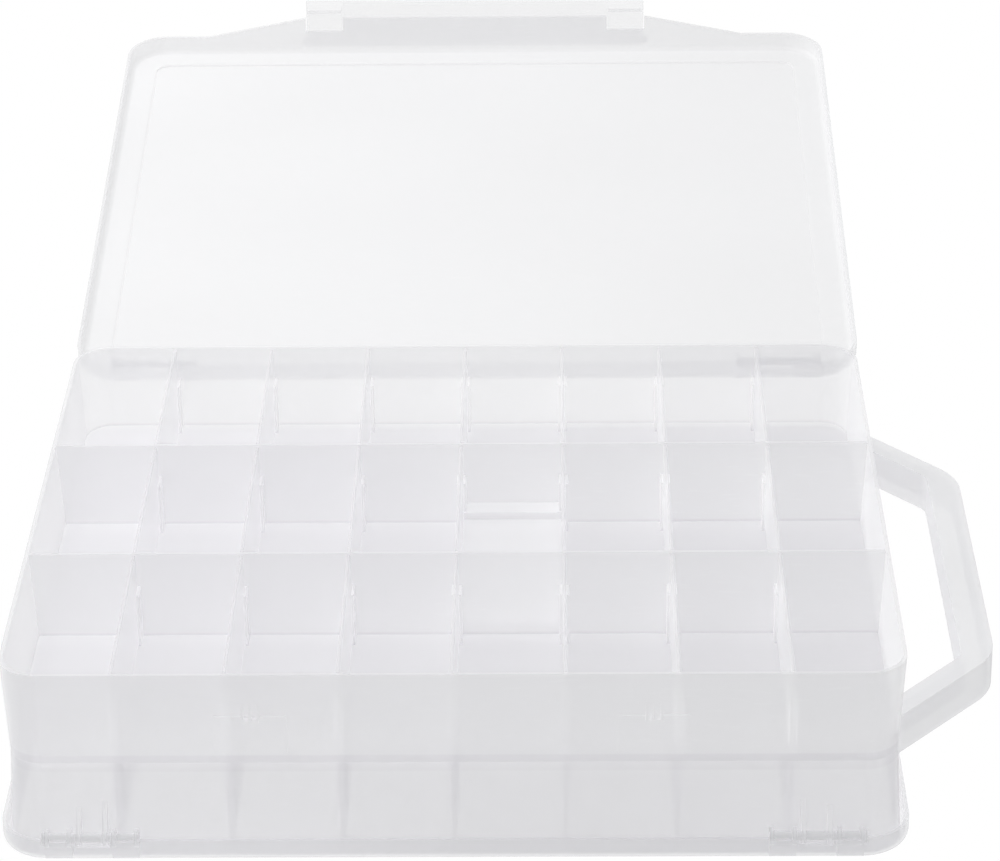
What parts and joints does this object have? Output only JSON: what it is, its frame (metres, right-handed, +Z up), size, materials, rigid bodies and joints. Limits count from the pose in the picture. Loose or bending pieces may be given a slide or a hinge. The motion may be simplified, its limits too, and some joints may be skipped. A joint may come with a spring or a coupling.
{
  "type": "embroidery thread box",
  "caption": "Two-sided see-through case with hinged lids, wide latch flaps, rows of divided cells for thread spools and a carry handle on one side.",
  "frame": {"origin": "on the surface that the case stands on, below the middle of the two trays", "axes": "+Z up, +X towards the carry handle, +Y towards the upper lid's hinge"},
  "size_m": [0.3668, 0.5733, 0.1257],
  "materials": {
    "tray": "semi-gloss moulded surface, slightly cloudy and see-through",
    "lid": "semi-gloss moulded surface, slightly cloudy and see-through",
    "latch": "semi-gloss moulded surface, slightly cloudy and see-through",
    "divider": "semi-gloss moulded surface, slightly cloudy and see-through",
    "handle": "semi-gloss moulded surface, slightly cloudy and see-through",
    "hinge_pin": "semi-gloss moulded surface, slightly cloudy and see-through"
  },
  "bodies": {
    "trays": {"upper_tray": "tray", "lower_tray": "tray", "carry_handle": "handle", "upper_hinge_pin_left": "hinge_pin", "upper_hinge_pin_right": "hinge_pin", "lower_hinge_pin_left": "hinge_pin", "lower_hinge_pin_right": "hinge_pin", "lower_divider_front_1": "divider", "lower_divider_front_2": "divider", "lower_divider_front_3": "divider", "lower_divider_front_4": "divider", "lower_divider_front_5": "divider", "lower_divider_front_6": "divider", "lower_divider_front_7": "divider", "lower_divider_middle_1": "divider", "lower_divider_middle_2": "divider", "lower_divider_middle_3": "divider", "lower_divider_middle_4": "divider", "lower_divider_middle_5": "divider", "lower_divider_middle_6": "divider", "lower_divider_middle_7": "divider", "lower_divider_back_1": "divider", "lower_divider_back_2": "divider", "lower_divider_back_3": "divider", "lower_divider_back_4": "divider", "lower_divider_back_5": "divider", "lower_divider_back_6": "divider", "lower_divider_back_7": "divider"},
    "upper_lid": {"upper_lid": "lid"},
    "upper_latch": {"upper_latch": "latch"},
    "lower_lid": {"lower_lid": "lid"},
    "lower_latch": {"lower_latch": "latch"},
    "upper_divider_front_1": {"upper_divider_front_1": "divider"},
    "upper_divider_front_2": {"upper_divider_front_2": "divider"},
    "upper_divider_front_3": {"upper_divider_front_3": "divider"},
    "upper_divider_front_4": {"upper_divider_front_4": "divider"},
    "upper_divider_front_5": {"upper_divider_front_5": "divider"},
    "upper_divider_front_6": {"upper_divider_front_6": "divider"},
    "upper_divider_front_7": {"upper_divider_front_7": "divider"},
    "upper_divider_middle_1": {"upper_divider_middle_1": "divider"},
    "upper_divider_middle_2": {"upper_divider_middle_2": "divider"},
    "upper_divider_middle_3": {"upper_divider_middle_3": "divider"},
    "upper_divider_middle_4": {"upper_divider_middle_4": "divider"},
    "upper_divider_middle_5": {"upper_divider_middle_5": "divider"},
    "upper_divider_middle_6": {"upper_divider_middle_6": "divider"},
    "upper_divider_middle_7": {"upper_divider_middle_7": "divider"},
    "upper_divider_back_1": {"upper_divider_back_1": "divider"},
    "upper_divider_back_2": {"upper_divider_back_2": "divider"},
    "upper_divider_back_3": {"upper_divider_back_3": "divider"},
    "upper_divider_back_4": {"upper_divider_back_4": "divider"},
    "upper_divider_back_5": {"upper_divider_back_5": "divider"},
    "upper_divider_back_6": {"upper_divider_back_6": "divider"},
    "upper_divider_back_7": {"upper_divider_back_7": "divider"}
  },
  "joints": [
    {"name": "upper_lid_hinge", "type": "hinge", "parent": "trays", "child": "upper_lid", "pos_m": [0, 0.1424, 0.0671], "axis": [-1, 0, 0], "range_deg": [-171, 0]},
    {"name": "upper_latch_hinge", "type": "hinge", "parent": "upper_lid", "child": "upper_latch", "pos_m": [0, 0.42559, 0.10476], "axis": [-1, 0, 0], "range_deg": [-9, 80]},
    {"name": "lower_lid_hinge", "type": "hinge", "parent": "trays", "child": "lower_lid", "pos_m": [0, -0.1424, 0.0121], "axis": [-1, 0, 0], "range_deg": [0, 171]},
    {"name": "lower_latch_hinge", "type": "hinge", "parent": "lower_lid", "child": "lower_latch", "pos_m": [0, 0.1432, 0.005], "axis": [-1, 0, 0], "range_deg": [-9, 80]},
    {"name": "upper_divider_lift_front_1", "type": "slide", "parent": "trays", "child": "upper_divider_front_1", "axis": [0, 0, 1], "range_m": [0, 0.04]},
    {"name": "upper_divider_lift_front_2", "type": "slide", "parent": "trays", "child": "upper_divider_front_2", "axis": [0, 0, 1], "range_m": [0, 0.04]},
    {"name": "upper_divider_lift_front_3", "type": "slide", "parent": "trays", "child": "upper_divider_front_3", "axis": [0, 0, 1], "range_m": [0, 0.04]},
    {"name": "upper_divider_lift_front_4", "type": "slide", "parent": "trays", "child": "upper_divider_front_4", "axis": [0, 0, 1], "range_m": [0, 0.04]},
    {"name": "upper_divider_lift_front_5", "type": "slide", "parent": "trays", "child": "upper_divider_front_5", "axis": [0, 0, 1], "range_m": [0, 0.04]},
    {"name": "upper_divider_lift_front_6", "type": "slide", "parent": "trays", "child": "upper_divider_front_6", "axis": [0, 0, 1], "range_m": [0, 0.04]},
    {"name": "upper_divider_lift_front_7", "type": "slide", "parent": "trays", "child": "upper_divider_front_7", "axis": [0, 0, 1], "range_m": [0, 0.04]},
    {"name": "upper_divider_lift_middle_1", "type": "slide", "parent": "trays", "child": "upper_divider_middle_1", "axis": [0, 0, 1], "range_m": [0, 0.04]},
    {"name": "upper_divider_lift_middle_2", "type": "slide", "parent": "trays", "child": "upper_divider_middle_2", "axis": [0, 0, 1], "range_m": [0, 0.04]},
    {"name": "upper_divider_lift_middle_3", "type": "slide", "parent": "trays", "child": "upper_divider_middle_3", "axis": [0, 0, 1], "range_m": [0, 0.04]},
    {"name": "upper_divider_lift_middle_4", "type": "slide", "parent": "trays", "child": "upper_divider_middle_4", "axis": [0, 0, 1], "range_m": [0, 0.04]},
    {"name": "upper_divider_lift_middle_5", "type": "slide", "parent": "trays", "child": "upper_divider_middle_5", "axis": [0, 0, 1], "range_m": [0, 0.04]},
    {"name": "upper_divider_lift_middle_6", "type": "slide", "parent": "trays", "child": "upper_divider_middle_6", "axis": [0, 0, 1], "range_m": [0, 0.04]},
    {"name": "upper_divider_lift_middle_7", "type": "slide", "parent": "trays", "child": "upper_divider_middle_7", "axis": [0, 0, 1], "range_m": [0, 0.04]},
    {"name": "upper_divider_lift_back_1", "type": "slide", "parent": "trays", "child": "upper_divider_back_1", "axis": [0, 0, 1], "range_m": [0, 0.04]},
    {"name": "upper_divider_lift_back_2", "type": "slide", "parent": "trays", "child": "upper_divider_back_2", "axis": [0, 0, 1], "range_m": [0, 0.04]},
    {"name": "upper_divider_lift_back_3", "type": "slide", "parent": "trays", "child": "upper_divider_back_3", "axis": [0, 0, 1], "range_m": [0, 0.04]},
    {"name": "upper_divider_lift_back_4", "type": "slide", "parent": "trays", "child": "upper_divider_back_4", "axis": [0, 0, 1], "range_m": [0, 0.04]},
    {"name": "upper_divider_lift_back_5", "type": "slide", "parent": "trays", "child": "upper_divider_back_5", "axis": [0, 0, 1], "range_m": [0, 0.04]},
    {"name": "upper_divider_lift_back_6", "type": "slide", "parent": "trays", "child": "upper_divider_back_6", "axis": [0, 0, 1], "range_m": [0, 0.04]},
    {"name": "upper_divider_lift_back_7", "type": "slide", "parent": "trays", "child": "upper_divider_back_7", "axis": [0, 0, 1], "range_m": [0, 0.04]}
  ]
}
